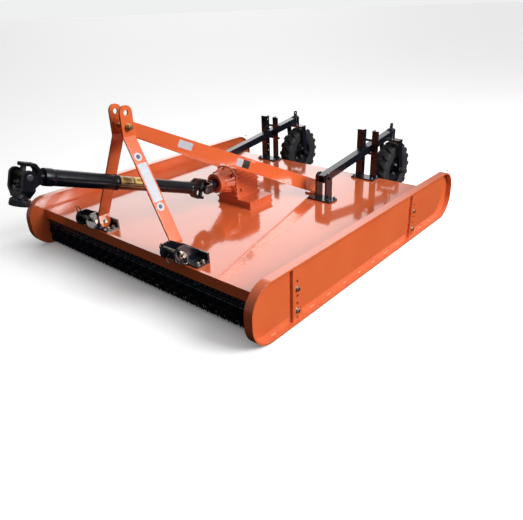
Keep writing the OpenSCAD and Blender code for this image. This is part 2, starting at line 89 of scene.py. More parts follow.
class Mat:
    """A node material under construction: a principled shader and short helpers."""

    def __init__(s, name):
        s.m = bpy.data.materials.new(name)
        s.m.use_nodes = True
        s.t = s.m.node_tree
        s.bsdf = next(n for n in s.t.nodes if n.type == "BSDF_PRINCIPLED")
        s.co = s.node("ShaderNodeTexCoord").outputs["Object"]

    def node(s, kind, **kw):
        n = s.t.nodes.new(kind)
        for k, v in kw.items():
            setattr(n, k, v)
        return n

    def put(s, sock, v):
        if hasattr(v, "is_output"):
            s.t.links.new(v, sock)
        else:
            sock.default_value = v

    def noise(s, scale, detail=4, rough=0.55, co=None, stretch=None):
        n = s.node("ShaderNodeTexNoise")
        src = co or s.co
        if stretch:
            mp = s.node("ShaderNodeMapping")
            mp.inputs["Scale"].default_value = stretch
            s.t.links.new(src, mp.inputs["Vector"])
            src = mp.outputs["Vector"]
        s.t.links.new(src, n.inputs["Vector"])
        n.inputs["Scale"].default_value = scale
        n.inputs["Detail"].default_value = detail
        n.inputs["Roughness"].default_value = rough
        return n.outputs["Fac"]

    def ramp(s, fac, a, b, lo=0.0, hi=1.0):
        n = s.node("ShaderNodeMapRange", clamp=True)
        s.put(n.inputs["Value"], fac)
        n.inputs["From Min"].default_value = a
        n.inputs["From Max"].default_value = b
        n.inputs["To Min"].default_value = lo
        n.inputs["To Max"].default_value = hi
        return n.outputs["Result"]

    def math(s, op, a, b=0.0):
        n = s.node("ShaderNodeMath", operation=op)
        s.put(n.inputs[0], a)
        s.put(n.inputs[1], b)
        return n.outputs[0]

    def mix(s, fac, a, b):
        n = s.node("ShaderNodeMix", data_type="RGBA")
        s.put(n.inputs[0], fac)
        s.put(n.inputs[6], a)
        s.put(n.inputs[7], b)
        return n.outputs[2]

    def axis(s, i):
        n = s.node("ShaderNodeSeparateXYZ")
        s.t.links.new(s.co, n.inputs[0])
        return n.outputs[i]

    def edges(s, radius):
        """1 on outside and inside edges, 0 on flat faces, and the rounded normal."""
        b = s.node("ShaderNodeBevel", samples=4)
        b.inputs["Radius"].default_value = radius
        g = s.node("ShaderNodeNewGeometry")
        d = s.node("ShaderNodeVectorMath", operation="DOT_PRODUCT")
        s.t.links.new(b.outputs[0], d.inputs[0])
        s.t.links.new(g.outputs["Normal"], d.inputs[1])
        return s.ramp(d.outputs["Value"], 0.99, 0.86), b.outputs[0]

    def bump(s, height, strength, dist, normal=None):
        n = s.node("ShaderNodeBump")
        s.put(n.inputs["Height"], height)
        n.inputs["Strength"].default_value = strength
        n.inputs["Distance"].default_value = dist
        if normal is not None:
            s.t.links.new(normal, n.inputs["Normal"])
        return n.outputs[0]

    def end(s, color, rough, normal=None, metallic=0.0, coat=0.0, coat_rough=0.05, ior=1.5, spec=0.5):
        s.put(s.bsdf.inputs["Base Color"], color)
        s.put(s.bsdf.inputs["Roughness"], rough)
        s.put(s.bsdf.inputs["Metallic"], metallic)
        s.bsdf.inputs["IOR"].default_value = ior
        s.bsdf.inputs["Specular IOR Level"].default_value = spec
        s.bsdf.inputs["Coat Weight"].default_value = coat
        s.bsdf.inputs["Coat Roughness"].default_value = coat_rough
        s.bsdf.inputs["Coat IOR"].default_value = ior
        if normal is not None:
            s.t.links.new(normal, s.bsdf.inputs["Normal"])
        return s.m


def paint(name, base, shade, light, rough, edge=0.0016, peel=0.05, wear=0.35, ior=1.5, coat=0.6, dust=None):
    m = Mat(name)
    e, nrm = m.edges(edge)
    big = m.noise(2.2, 5, 0.6)
    fine = m.noise(70, 3, 0.6)
    col = m.mix(m.ramp(big, 0.35, 0.7), base, shade)
    worn = m.math("MULTIPLY", e, m.ramp(fine, 0.42, 0.62))
    col = m.mix(m.math("MULTIPLY", worn, wear), col, light)
    if dust:
        low = m.ramp(m.axis(2), 0.09, 0.0, 0.0, 0.45)
        grain = m.ramp(m.noise(24, 6, 0.7), 0.4, 0.75)
        col = m.mix(m.math("MULTIPLY", low, grain), col, dust)
    smear = m.noise(6, 4, 0.6, stretch=(1, 3, 1))
    rg = m.ramp(smear, 0.3, 0.75, rough * 0.75, rough * 1.5)
    peelh = m.noise(420, 2, 0.5)
    wave = m.noise(5, 2, 0.4)
    n1 = m.bump(peelh, peel, 0.0006, nrm)
    n2 = m.bump(wave, 0.06, 0.004, n1)
    return m.end(col, rg, n2, coat=coat, coat_rough=rough * 0.6, ior=ior)


ORANGE = srgb(228, 111, 64)
M = {}
M["orange"] = paint("orange_paint", ORANGE, srgb(222, 101, 54), srgb(255, 176, 124), 0.11,
                    ior=1.6, coat=1.0, dust=srgb(150, 90, 60))
M["orange_cast"] = paint("orange_on_casting", srgb(214, 100, 56), srgb(196, 84, 46), srgb(250, 172, 122), 0.3,
                         edge=0.003, peel=0.35, ior=1.5, coat=0.5)
M["black"] = paint("black_paint", srgb(12, 14, 22), srgb(17, 19, 29), srgb(78, 82, 94), 0.2,
                   wear=0.45, ior=1.5, coat=0.6, dust=srgb(90, 82, 72))
M["guard"] = paint("guard_plastic", srgb(7, 10, 16), srgb(11, 14, 22), srgb(60, 66, 80), 0.21,
                   peel=0.12, wear=0.3, ior=1.4, coat=0.0)


def metal(name, base, dark, rough, scale=30, metallic=1.0, streak=None, rust=None):
    m = Mat(name)
    e, nrm = m.edges(0.0012)
    n = m.noise(scale, 5, 0.65, stretch=streak)
    col = m.mix(m.ramp(n, 0.35, 0.7), base, dark)
    if rust:
        spots = m.ramp(m.noise(18, 8, 0.75), 0.52, 0.66)
        col = m.mix(m.math("MULTIPLY", spots, 0.6), col, rust)
    rg = m.ramp(n, 0.3, 0.7, rough * 0.8, rough * 1.3)
    return m.end(col, rg, m.bump(n, 0.15, 0.0008, nrm), metallic=metallic)


M["zinc"] = metal("zinc_plate", srgb(205, 200, 188), srgb(160, 155, 146), 0.3, 60)
M["yellow_zinc"] = metal("yellow_zinc", srgb(196, 170, 120), srgb(150, 125, 84), 0.34, 60)
M["steel"] = metal("worn_steel", srgb(96, 96, 98), srgb(56, 56, 58), 0.42, 14, 0.85, rust=srgb(92, 52, 30))
M["blade"] = metal("blade_steel", srgb(120, 120, 124), srgb(70, 70, 74), 0.36, 40, 0.95, streak=(0.2, 1, 1))
M["chain"] = metal("chain_steel", srgb(36, 42, 54), srgb(14, 17, 23), 0.34, 90, 0.7)
M["rod"] = metal("rod_steel", srgb(96, 104, 118), srgb(50, 55, 64), 0.35, 90, 0.8)
M["weld"] = paint("painted_weld", srgb(228, 90, 40), srgb(205, 76, 32), srgb(250, 140, 90), 0.28, peel=0.3, coat=0.6)
# a lighter copy of the weld paint for the lower stitches: a painted highlight
M["weld_painted_highlight"] = paint("painted_highlight_weld", srgb(250, 156, 98), srgb(240, 128, 70), srgb(255, 196, 140), 0.28, peel=0.3, coat=0.6)
M["weld_black"] = paint("black_weld", srgb(22, 23, 26), srgb(36, 37, 40), srgb(80, 80, 84), 0.3, peel=0.3)


def rubber(name, base, dusty):
    m = Mat(name)
    e, nrm = m.edges(0.002)
    n = m.noise(9, 7, 0.7)
    col = m.mix(m.ramp(n, 0.45, 0.8), base, dusty)
    f = m.noise(260, 3, 0.6)
    return m.end(col, m.ramp(n, 0.3, 0.8, 0.62, 0.85), m.bump(f, 0.25, 0.0008, nrm))


M["rubber"] = rubber("tyre_rubber", srgb(25, 25, 28), srgb(46, 45, 45))


def sticker(name, base, shade):
    m = Mat(name)
    n = m.noise(40, 4, 0.6)
    col = m.mix(m.ramp(n, 0.4, 0.8), base, shade)
    return m.end(col, 0.35, m.bump(n, 0.05, 0.0004), coat=0.3)


M["label_white"] = sticker("blank_label", srgb(192, 195, 203), srgb(176, 180, 190))
M["label_black"] = sticker("blank_label_dark", srgb(34, 34, 34), srgb(50, 50, 50))
M["label_cream"] = sticker("blank_band", srgb(212, 178, 92), srgb(188, 152, 74))
M["label_cream_2"] = sticker("blank_band_panel", srgb(150, 118, 58), srgb(126, 98, 48))
M["label_red"] = sticker("blank_band_edge", srgb(74, 30, 22), srgb(48, 24, 18))
M["label_blue"] = sticker("blank_dot", srgb(30, 42, 82), srgb(24, 34, 70))


def coat_node(mat, *names):
    for n in names:
        ob = NODES[n]
        if ob.material_slots:
            for sl in ob.material_slots:
                sl.material = M[mat]
        else:
            ob.data.materials.append(M[mat])


LR = ("left", "right")
coat_node("orange", "deck_pan", *[f"skid_{s}" for s in LR], *[f"hbar_{k}_{s}" for k in ("front", "rear") for s in LR],
          *[f"mast_{s}" for s in LR], *[f"stay_{s}" for s in LR])
coat_node("orange_cast", "gearbox_base", "gearbox_case", "input_hub")
coat_node("black", *[f"{k}_{s}" for k in ("hitch", "arm_pivot", "arm_guide", "arm", "fork", "wheel_rim") for s in LR],
          "pto_yoke_rear", "pto_yoke_front")
coat_node("guard", "pto_inner", "pto_outer")
coat_node("zinc", "hitch_pin_left", "hitch_pin_right")
coat_node("yellow_zinc", "mast_bolt")
coat_node("steel", "rotor_hub", "pto_cross_rear", "pto_cross_front")
coat_node("blade", "blade_a", "blade_b")
coat_node("chain", "chain_front", "chain_rear")
coat_node("rubber", "tyre_left", "tyre_right")


# ---------------------------------------------------------------- mesh helpers
def along(p, z, x=None):
    """A matrix at p whose Z runs along z, with X as near to x as it can be."""
    z = Vector(z).normalized()
    x = Vector(x) if x is not None else (Vector((1, 0, 0)) if abs(z.x) < 0.9 else Vector((0, 1, 0)))
    x = (x - z * x.dot(z)).normalized()
    y = z.cross(x)
    m = Matrix((x, y, z)).transposed().to_4x4()
    m.translation = Vector(p)
    return m


class Piece:
    """A mesh under construction; its parts carry a material number."""

    def __init__(s):
        s.bm = bmesh.new()

    def add(s, part, m=None, mat=0):
        if m is not None:
            bmesh.ops.transform(part, matrix=m, verts=part.verts)
        for f in part.faces:
            f.material_index = mat
        me = bpy.data.meshes.new("t")
        part.to_mesh(me)
        part.free()
        s.bm.from_mesh(me)
        bpy.data.meshes.remove(me)

    def loft(s, rings, m=None, mat=0, close=False, caps=True):
        """Faces between rings of points with the same count."""
        b = bmesh.new()
        rows = [[b.verts.new(v) for v in r] for r in rings]
        n = len(rows[0])
        pairs = list(zip(rows, rows[1:])) + ([(rows[-1], rows[0])] if close else [])
        for a, c in pairs:
            for i in range(n):
                j = (i + 1) % n
                b.faces.new((a[i], a[j], c[j], c[i]))
        if caps and not close:
            b.faces.new(list(reversed(rows[0])))
            b.faces.new(rows[-1])
        bmesh.ops.recalc_face_normals(b, faces=b.faces)
        s.add(b, m, mat)

    def box(s, lo, hi, r=0.0, m=None, mat=0, seg=2):
        b = bmesh.new()
        bmesh.ops.create_cube(b, size=1)
        lo, hi = Vector(lo), Vector(hi)
        for v in b.verts:
            v.co = Vector([lo[i] if v.co[i] < 0 else hi[i] for i in range(3)])
        if r > 0:
            bmesh.ops.bevel(b, geom=b.edges[:], offset=r, segments=seg, profile=0.5, affect="EDGES")
        s.add(b, m, mat)

    def lathe(s, prof, m, mat=0, n=32, ring=False):
        """prof lists (radius, height) along m's Z; radius 0 closes an end, and a ring closes on itself."""
        rings = []
        for r, h in prof:
            r = max(r, 1e-5)
            rings.append([(r * math.cos(2 * math.pi * i / n), r * math.sin(2 * math.pi * i / n), h) for i in range(n)])
        s.loft(rings, m, mat, close=ring)

    def tube(s, pts, r, n=8, m=None, mat=0, close=False):
        pts = [Vector(p) for p in pts]
        k = len(pts)
        rings = []
        up = None
        for i, p in enumerate(pts):
            a = pts[(i - 1) % k] if (close or i) else p
            c = pts[(i + 1) % k] if (close or i < k - 1) else p
            t = (c - a).normalized()
            if up is None:
                up = Vector((0, 0, 1)) if abs(t.z) < 0.9 else Vector((1, 0, 0))
            up = (up - t * up.dot(t)).normalized()
            w = t.cross(up)
            rings.append([p + r * (math.cos(2 * math.pi * j / n) * up + math.sin(2 * math.pi * j / n) * w) for j in range(n)])
        s.loft(rings, m, mat, close=close)

    def prism(s, prof, h, m=None, mat=0, r=0.0):
        """A 2D outline in m's XY plane pulled along its Z."""
        b = bmesh.new()
        lo = [b.verts.new((x, y, 0)) for x, y in prof]
        hi = [b.verts.new((x, y, h)) for x, y in prof]
        b.faces.new(list(reversed(lo)))
        b.faces.new(hi)
        n = len(prof)
        for i in range(n):
            j = (i + 1) % n
            b.faces.new((lo[i], lo[j], hi[j], hi[i]))
        bmesh.ops.recalc_face_normals(b, faces=b.faces)
        if r > 0:
            bmesh.ops.bevel(b, geom=b.edges[:], offset=r, segments=2, profile=0.5, affect="EDGES")
        s.add(b, m, mat)

    def hexa(s, p, z, af, h, mat=0, cham=0.12, turn=0.0):
        """A hexagon of width af over flats, with its corners turned off at the outer end."""
        m = along(p, z)
        R = af / math.sqrt(3)
        ring = lambda k, hh: [(R * k * math.cos(math.pi / 3 * i + turn), R * k * math.sin(math.pi / 3 * i + turn), hh)
                              for i in range(6)]
        s.loft([ring(1, 0), ring(1, h * (1 - cham)), ring(0.9, h)], m, mat)

    def bolt(s, p, z, d, head=True, mat=0, stick=0.0, washer=True):
        """A bolt head or a nut with its washer and thread end, standing on p along z."""
        p, z = Vector(p), Vector(z).normalized()
        q = p
        if washer:
            m = along(p, z)
            s.lathe([(0, 0), (d * 1.05, 0), (d * 1.08, d * 0.06), (d * 1.05, d * 0.16), (0, d * 0.16)], m, mat, 24)
            q = p + z * d * 0.16
        s.hexa(q, z, d * 1.55, d * (0.65 if head else 0.82), mat)
        if not head:
            s.lathe([(0, 0), (d * 0.5, 0), (d * 0.5, d * 0.3 + stick), (d * 0.42, d * 0.42 + stick), (0, d * 0.42 + stick)],
                    along(q + z * d * 0.7, z), mat, 16)

    def bead(s, a, b, r, mat=0, step=None, seed=0):
        """A weld bead: overlapping ripples along a line."""
        a, b = Vector(a), Vector(b)
        L = (b - a).length
        step = step or r * 0.9
        n = max(2, int(L / step))
        pts = []
        rings = []
        t = (b - a).normalized()
        up = Vector((0, 0, 1)) if abs(t.z) < 0.9 else Vector((1, 0, 0))
        up = (up - t * up.dot(t)).normalized()
        w = t.cross(up)
        for i in range(2 * n + 1):
            k = 1.0 if i % 2 else 0.78
            k *= 1 + 0.08 * math.sin(i * 2.3 + seed)
            if i in (0, 2 * n):
                k = 0.35
            p = a + t * (L * i / (2 * n))
            rings.append([p + r * k * (math.cos(math.pi / 3 * j) * up + math.sin(math.pi / 3 * j) * w) for j in range(6)])
        s.loft(rings, None, mat)

    def done(s, name, body, mats, replaces=(), angle=38):
        bmesh.ops.recalc_face_normals(s.bm, faces=s.bm.faces)
        me = bpy.data.meshes.new(name)
        s.bm.to_mesh(me)
        s.bm.free()
        for k in mats:
            me.materials.append(M[k])
        me.polygons.foreach_set("use_smooth", [True] * len(me.polygons))
        me.set_sharp_from_angle(angle=math.radians(angle))
        ob = bpy.data.objects.new(name, me)
        bpy.context.scene.collection.objects.link(ob)
        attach(ob, body)
        if replaces:
            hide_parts(*replaces)
        return ob


X, Y, Z = Vector((1, 0, 0)), Vector((0, 1, 0)), Vector((0, 0, 1))
SIGN = {"left": -1, "right": 1}

# ---------------------------------------------------------------- chain guards
STRANDS = 49


def link_path(L, w, n=3):
    """The centre line of one link: two straight sides and two half circles."""
    R = w / 2
    half = lambda z0, a0: [Vector((R * math.cos(a0 + math.pi * i / n), 0, z0 + R * math.sin(a0 + math.pi * i / n)))
                           for i in range(n + 1)]
    return half(L / 2 - R, 0) + half(R - L / 2, math.pi)


def chain_guard(name, node, y, s):
    """A rail with its bolts and rod, and the strands; s is -1 at the front, 1 at the rear."""
    p = Piece()
    wire, L, pitch = 0.0039, 0.036, 0.0275
    p.box(P(-886, y - 5, 118), P(886, y + 5, 224), 0.0008)
    p.box(P(-886, y + s * 5 - 1.5, 132), P(886, y + s * 5 + 1.5, 138), 0.0008)
    p.tube([P(-885, y + s * 5.5, 121), P(885, y + s * 5.5, 121)], 0.0042, 8, None, 2)
    for i in range(3 * STRANDS):
        back = i % 3
        x = -887 + (i + 0.5) * 1774 / (3 * STRANDS)
        if not back:
            p.lathe([(0, 0), (0.0058, 0), (0.0055, 0.002), (0.003, 0.0036), (0, 0.004)],
                    along(P(x, y + s * 5, 156), (0, s, 0)), 3, 10)
        z, k = 0.116, (i // 3) % 2
        while z - L / 2 > 0.0085:
            turn = (math.pi / 4 if k % 2 else -math.pi / 4) + 0.3 * math.sin(i * 2.1 + k * 1.3)
            spot = P(x + math.sin(i * 1.7 + k), y + s * (2 - 3 * back), z * 1000)
            p.tube(link_path(L, 0.0185), wire, 5, Matrix.Translation(spot) @ Matrix.Rotation(turn, 4, "Z"), 1, close=True)
            z -= pitch
            k += 1
    for i in range(6):
        x = -775 + i * 310
        p.bolt(P(x, y + s * 5, 147), (0, s, 0), 0.010, mat=2)
    return p.done(name, "deck", ["black", "chain", "rod", "rod"], [node])


chain_guard("chain_guard_front", "chain_front", 11, -1)
chain_guard("chain_guard_rear", "chain_rear", 1701, 1)

# ---------------------------------------------------------------- tyres and wheels
def tyre(s):
    j = next(j for j in frame["joints"] if j["name"] == f"wheel_{s}_spin")
    c = Vector(j["pos_m"])
    m = along(c, X, Y)
    p = Piece()
    half = [(0.096, 0.0), (0.101, 0.039), (0.108, 0.0455), (0.122, 0.0485), (0.142, 0.0502), (0.160, 0.0506), (0.174, 0.0478),
            (0.184, 0.041), (0.1882, 0.027), (0.190, 0)]
    prof = [(r, -h) for r, h in half] + [(r, h) for r, h in reversed(half[1:-1])]
    n = 72
    rings = []
    for i in range(n):
        a = 2 * math.pi * i / n
        rings.append([(r * math.cos(a), r * math.sin(a), h) for r, h in prof])
    p.loft(rings, m, 0, close=True)
    # rings on the side walls
    for h in (-1, 1):
        for r, t in ((0.126, 0.0016), (0.166, 0.0022)):
            hh = h * (0.0487 if r < 0.13 else 0.0498)
            p.tube([m @ Vector((r * math.cos(2 * math.pi * i / 60), r * math.sin(2 * math.pi * i / 60), hh))
                    for i in range(60)], t, 6, None, 0, close=True)
    # lugs: x across, radius, turn along the tread, half width, outward normal
    way = [(0.002, 0.1992, -0.085, 0.032, 0, 1), (0.020, 0.1998, -0.040, 0.046, 0, 1), (0.036, 0.1985, 0.010, 0.062, 0.15, 1),
           (0.0480, 0.1915, 0.035, 0.068, 0.7, 0.8), (0.0522, 0.176, 0.045, 0.062, 1, 0.25), (0.0519, 0.160, 0.05, 0.052, 1, 0.1)]
    N = 18
    for side_ in (-1, 1):
        for i in range(N):
            a0 = 2 * math.pi * (i + (0.5 if side_ < 0 else 0)) / N
            rows = []
            for x, r, da, hw, nx, nr in way:
                row = []
                for w, deep in ((-1, 0), (1, 0), (1.25, 1), (-1.25, 1)):
                    a = a0 + da + w * hw
                    rr = r - deep * 0.012 * nr
                    xx = side_ * (x - deep * 0.008 * nx)
                    row.append((rr * math.cos(a), rr * math.sin(a), xx))
                rows.append(row)
            p.loft(rows, m, 0)
    p.done(f"tyre_tread_{s}", f"wheel_{s}", ["rubber"], [f"tyre_{s}"], angle=30)
    # bolts of the rim, the axle's nuts and a grease nipple
    q = Piece()
    for k in range(5):
        a = 2 * math.pi * k / 5 + 0.3
        for h in (-1, 1):
            q.bolt(m @ Vector((0.058 * math.cos(a), 0.058 * math.sin(a), h * 0.008)),
                   m.to_3x3() @ Vector((0, 0, h)), 0.012, head=h > 0)
    q.done(f"wheel_bolts_{s}", f"wheel_{s}", ["zinc"])
    f = Piece()
    for h in (-1, 1):
        f.bolt(m @ Vector((0, 0, h * 0.0785)), m.to_3x3() @ Vector((0, 0, h)), 0.020, head=False)
    f.done(f"axle_nuts_{s}", f"castor_{s}", ["black"])


for s in LR:
    tyre(s)


# ---------------------------------------------------------------- bolts and pins
def deck_bolts():
    p = Piece()
    for s in LR:
        k = SIGN[s]
        # height bars: bolts through the second and fifth holes
        for y in (223, 1413):
            for z in (60, 177):
                p.bolt(P(k * 919, y, z), (k, 0, 0), 0.0125)
                p.lathe([(0, 0), (0.014, 0), (0.013, 0.004), (0.006, 0.0065), (0, 0.007)],
                        along(P(k * 899, y, z), (-k, 0, 0)), 0, 20)
        # the bars' empty holes: a black disc at the bottom of each is painted shade
        for y in (223, 1413):
            for z in (21, 99, 138, 216):
                p.lathe([(0, 0), (0.0078, 0), (0.0078, 0.0012), (0, 0.0012)], along(P(k * 905.2, y, z), (k, 0, 0)), 3, 24)
        # bracket plates
        for dx in (-70, 70):
            for dy in (-44, 16):
                p.bolt(P(k * (ARM_X + dx), ARM_Y + dy, 241), Z, 0.010, head=False, mat=1)
            for dy in (-36, 24):
                p.bolt(P(k * (ARM_X + dx), GUIDE_Y + dy, 241), Z, 0.010, head=False, mat=1)
        # hitch plates
        for x in (364 - 103, 364 + 103):
            for y in (32, 66):
                p.bolt(P(k * x, y, 241), Z, 0.012, head=False)
        # feet of the mast and the stay
        p.bolt(P(k * 300, 46, 278), (-k, 0, 0), 0.012)
        for dy in (-50, 6):
            p.bolt(P(k * 330, 1248 + dy, 241), Z, 0.011, head=False, mat=2)
    return p.done("deck_fasteners", "deck", ["zinc", "rod", "orange_cast", "black"])


deck_bolts()


def mast_nuts():
    p = Piece()
    for k in (-1, 1):
        p.bolt(P(k * 55, 46, 848), (k, 0, 0), 0.017, head=k < 0)
    return p.done("mast_bolt_nuts", "deck", ["yellow_zinc"])


mast_nuts()


def gearbox_trim():
    p = Piece()
    c = P(0, ROTOR_Y - 102, INPUT_Z)
    for i in range(6):
        a = math.pi / 3 * i + math.pi / 6
        u = Vector((math.cos(a), 0, math.sin(a)))
        p.bolt(c + u * 0.071 + Vector((0, -0.016, 0)), (0, -1, 0), 0.010, mat=0)
        # ribs between the pockets
        b = a + math.pi / 6
        u = Vector((math.cos(b), 0, math.sin(b)))
        w = Vector((-u.z, 0, u.x)) * 0.004
        q = [c + u * 0.062 + Vector((0, -0.014, 0)), c + u * 0.083 + Vector((0, -0.014, 0)),
             c + u * 0.064 + Vector((0, -0.076, 0)), c + u * 0.056 + Vector((0, -0.076, 0))]
        p.loft([[v - w for v in q], [v + w for v in q]], None, 1)
    top = P(0, ROTOR_Y + 6, 480)
    for i in range(6):
        a = math.pi / 3 * i
        p.bolt(top + Vector((0.047 * math.cos(a), 0.047 * math.sin(a), 0)), Z, 0.008, mat=0)
    p.lathe([(0, 0), (0.018, 0), (0.018, 0.006), (0.012, 0.008), (0.012, 0.016), (0.009, 0.019), (0, 0.019)],
            along(top, Z), 2, 24)
    # filler plug, level plug and drain
    p.hexa(P(72, ROTOR_Y + 52, 414), (1, 0, 0), 0.020, 0.013, 1)
    p.hexa(P(72, ROTOR_Y - 60, 330), (1, 0, 0), 0.020, 0.013, 1)
    p.hexa(P(-72, ROTOR_Y, 330), (-1, 0, 0), 0.020, 0.013, 1)
    p.done("gearbox_trim", "deck", ["weld", "orange_cast", "zinc"])


gearbox_trim()


def ring(p, c, u, v, ru, rv, wire, mat=0, n=32, squeeze=0.0):
    """A closed wire oval about c in the plane of u and v."""
    c, u, v = Vector(c), Vector(u).normalized(), Vector(v).normalized()
    pts = []
    for i in range(n):
        a = 2 * math.pi * i / n
        k = 1 - squeeze * (0.5 - 0.5 * math.sin(a))
        pts.append(c + u * ru * k * math.cos(a) + v * rv * math.sin(a))
    p.tube(pts, wire, 8, None, mat, close=True)


def hitch_pins():
    for s in LR:
        k = SIGN[s]
        p = Piece()
        ax = Vector((k, 0, 0))
        # outer end: collar, lynch pin and its sprung oval ring
        c = P(k * 430, -23, 304)
        p.lathe([(0.0111, 0), (0.018, 0), (0.0185, 0.003), (0.018, 0.006), (0.0111, 0.006)],
                along(P(k * 419, -23, 304), ax), 1, 24, True)
        p.lathe([(0, -0.022), (0.004, -0.018), (0.004, 0.018), (0.0075, 0.020), (0.0085, 0.027), (0.005, 0.032), (0, 0.033)],
                along(c, (0, -0.55, 0.83)), 0, 12)
        # it hangs on the right and stands up on the left
        drop, wide, tall = (-0.014, 0.024, 0.034) if k > 0 else (0.032, 0.011, 0.030)
        ring(p, c + ax * 0.007 + Vector((0, -0.001, drop)), (0, 0.83, 0.35), (0, -0.35, 0.93), wide, tall, 0.0028,
             0 if k > 0 else 1, squeeze=0.25)
        # inner end: a small ring
        c = P(k * 284, -23, 304)
        p.lathe([(0, -0.018), (0.0035, -0.016), (0.0035, 0.016), (0.006, 0.018), (0.006, 0.023), (0, 0.025)],
                along(c, (0, -0.3, 0.95)), 0, 12)
        ring(p, c - ax * 0.004 + Vector((0, -0.006, 0.004)), (0, 1, 0.2), (0, -0.2, 1), 0.010, 0.014, 0.0020, 0)
        # a wire keeper that hangs from the right bracket's inner plate
        c = P(k * 330, -34, 268)
        if k > 0:
            p.tube([c + Vector((k * x / 1000, y / 1000, z / 1000)) for x, y, z in
                    ((-8, 14, 10), (-10, 0, 0), (-2, -8, -14), (12, -10, -26), (26, -8, -20), (34, -2, -6), (36, 8, 4))], 0.0018, 6, None, 0)
        p.done(f"hitch_lynch_pins_{s}", "deck", ["zinc", "yellow_zinc"])


hitch_pins()


# ---------------------------------------------------------------- welds
def round_bead(p, c, axis, r, t, mat=0, n=40):
    """A weld bead around a tube."""
    m = along(c, axis)
    rings = []
    for i in range(n):
        a = 2 * math.pi * i / n
        k = t * (1.0 if i % 2 else 0.72)
        u = Vector((math.cos(a), math.sin(a), 0))
        rings.append([u * (r + k * math.cos(math.pi / 3 * j)) + Vector((0, 0, k * math.sin(math.pi / 3 * j))) for j in range(6)])
    p.loft(rings, m, mat, close=True)


def welds():
    p = Piece()
    for s in LR:
        k = SIGN[s]
        # stitches between the side plate and its rim; the lower ones take a lighter copy of the weld paint, a painted
        # highlight
        for n, y in enumerate(range(40, 1850, 150)):
            p.bead(P(k * 905.5, y, 10.5), P(k * 905.5, y + 34, 10.5), 0.0034, 1, seed=n)
            p.bead(P(k * 905.5, y + 60, 301.5), P(k * 905.5, y + 94, 301.5), 0.0028, 0, seed=n + 3)
        # the deck against the side
        p.bead(P(k * 886, 8, 232), P(k * 886, 1704, 232), 0.0032, 0)
        # height bars
        for y in (190, 1380):
            for z0, z1 in ((12, 46), (88, 150), (196, 240), (262, 300)):
                p.bead(P(k * 906, y - 1, z0), P(k * 906, y - 1, z1), 0.0024, 0)
    # gearbox pedestal on the deck
    for y in (-104, 104):
        p.bead(P(-90, ROTOR_Y + y, 232), P(180, ROTOR_Y + y, 232), 0.003, 0)
    for x in (-93, 181):
        p.bead(P(x, ROTOR_Y - 104, 232), P(x, ROTOR_Y + 104, 232), 0.003, 0)
    p.done("side_welds", "deck", ["weld", "weld_painted_highlight"])
    q = Piece()
    for s in LR:
        k = SIGN[s]
        for x0, x1 in ((-42, -28), (28, 42)):
            for dy in (-32.5, 32.5):
                q.bead(P(k * (ARM_X + x0), ARM_Y + dy, 242), P(k * (ARM_X + x1), ARM_Y + dy, 242), 0.003, 0)
            q.bead(P(k * (ARM_X + (x0 if x0 < 0 else x1) * 0.99), ARM_Y - 31, 242), P(k * (ARM_X + (x0 if x0 < 0 else x1) * 0.99), ARM_Y + 31, 242), 0.003, 0)
        for x0, x1 in ((-79, -33), (33, 79)):
            q.bead(P(k * (ARM_X + x0), GUIDE_Y - 0.5, 242), P(k * (ARM_X + x1), GUIDE_Y - 0.5, 242), 0.003, 0)
        q.bead(P(k * 250, 85, 242), P(k * 480, 85, 242), 0.003, 0)
        for x in (310, 322, 406, 418):
            q.bead(P(k * x, 14, 242), P(k * x, 84, 242), 0.0028, 0)
    q.done("bracket_welds", "deck", ["weld_black"])
    for s in LR:
        k = SIGN[s]
        a = Piece()
        # where the tube meets the sleeve
        slope = (SLEEVE_Z - ARM_Z) / (SPIN_Y - ARM_Y)
        for x in (-24.5, 24.5):
            y = SPIN_Y - 19
            z = SLEEVE_Z - 19 * slope
            a.bead(P(k * (ARM_X + x), y, z - 23), P(k * (ARM_X + x), y, z + 22), 0.0026)
        a.bead(P(k * ARM_X - 23, SPIN_Y - 30, SLEEVE_Z + 21.5), P(k * ARM_X + 23, SPIN_Y - 30, SLEEVE_Z + 21.5), 0.0026)
        a.done(f"arm_welds_{s}", f"arm_{s}", ["weld_black"])
        f = Piece()
        c = P(k * ARM_X, SPIN_Y, 432.5)
        round_bead(f, c, Z, 0.0305, 0.0026)
        round_bead(f, P(k * ARM_X, SPIN_Y, 506), Z, 0.0155, 0.0014, n=24)
        for x in (-68, 68):
            f.bead(P(k * ARM_X + x, SPIN_Y - 14, 419.5), P(k * ARM_X + x, SPIN_Y + 30, 419.5), 0.0028)
        f.done(f"fork_welds_{s}", f"castor_{s}", ["weld_black"])


welds()


# ---------------------------------------------------------------- blank labels
def patch(p, o, u, v, n, pts, mat, t=0.0004):
    """A thin plate on the face at o; its outline is in (u, v) coordinates, n points away from the face."""
    m = Matrix((Vector(u).normalized(), Vector(v).normalized(), Vector(n).normalized())).transposed().to_4x4()
    m.translation = Vector(o)
    p.prism([(x / 1000, y / 1000) for x, y in pts], t, m, mat)


def rect(u0, u1, v0, v1, r=3, n=4):
    pts = []
    for cx, cy, a0 in ((u1 - r, v1 - r, 0), (u0 + r, v1 - r, 90), (u0 + r, v0 + r, 180), (u1 - r, v0 + r, 270)):
        for i in range(n + 1):
            a = math.radians(a0 + 90 * i / n)
            pts.append((cx + r * math.cos(a), cy + r * math.sin(a)))
    return pts


def disc(cu, cv, r, n=28):
    return [(cu + r * math.cos(2 * math.pi * i / n), cv + r * math.sin(2 * math.pi * i / n)) for i in range(n)]


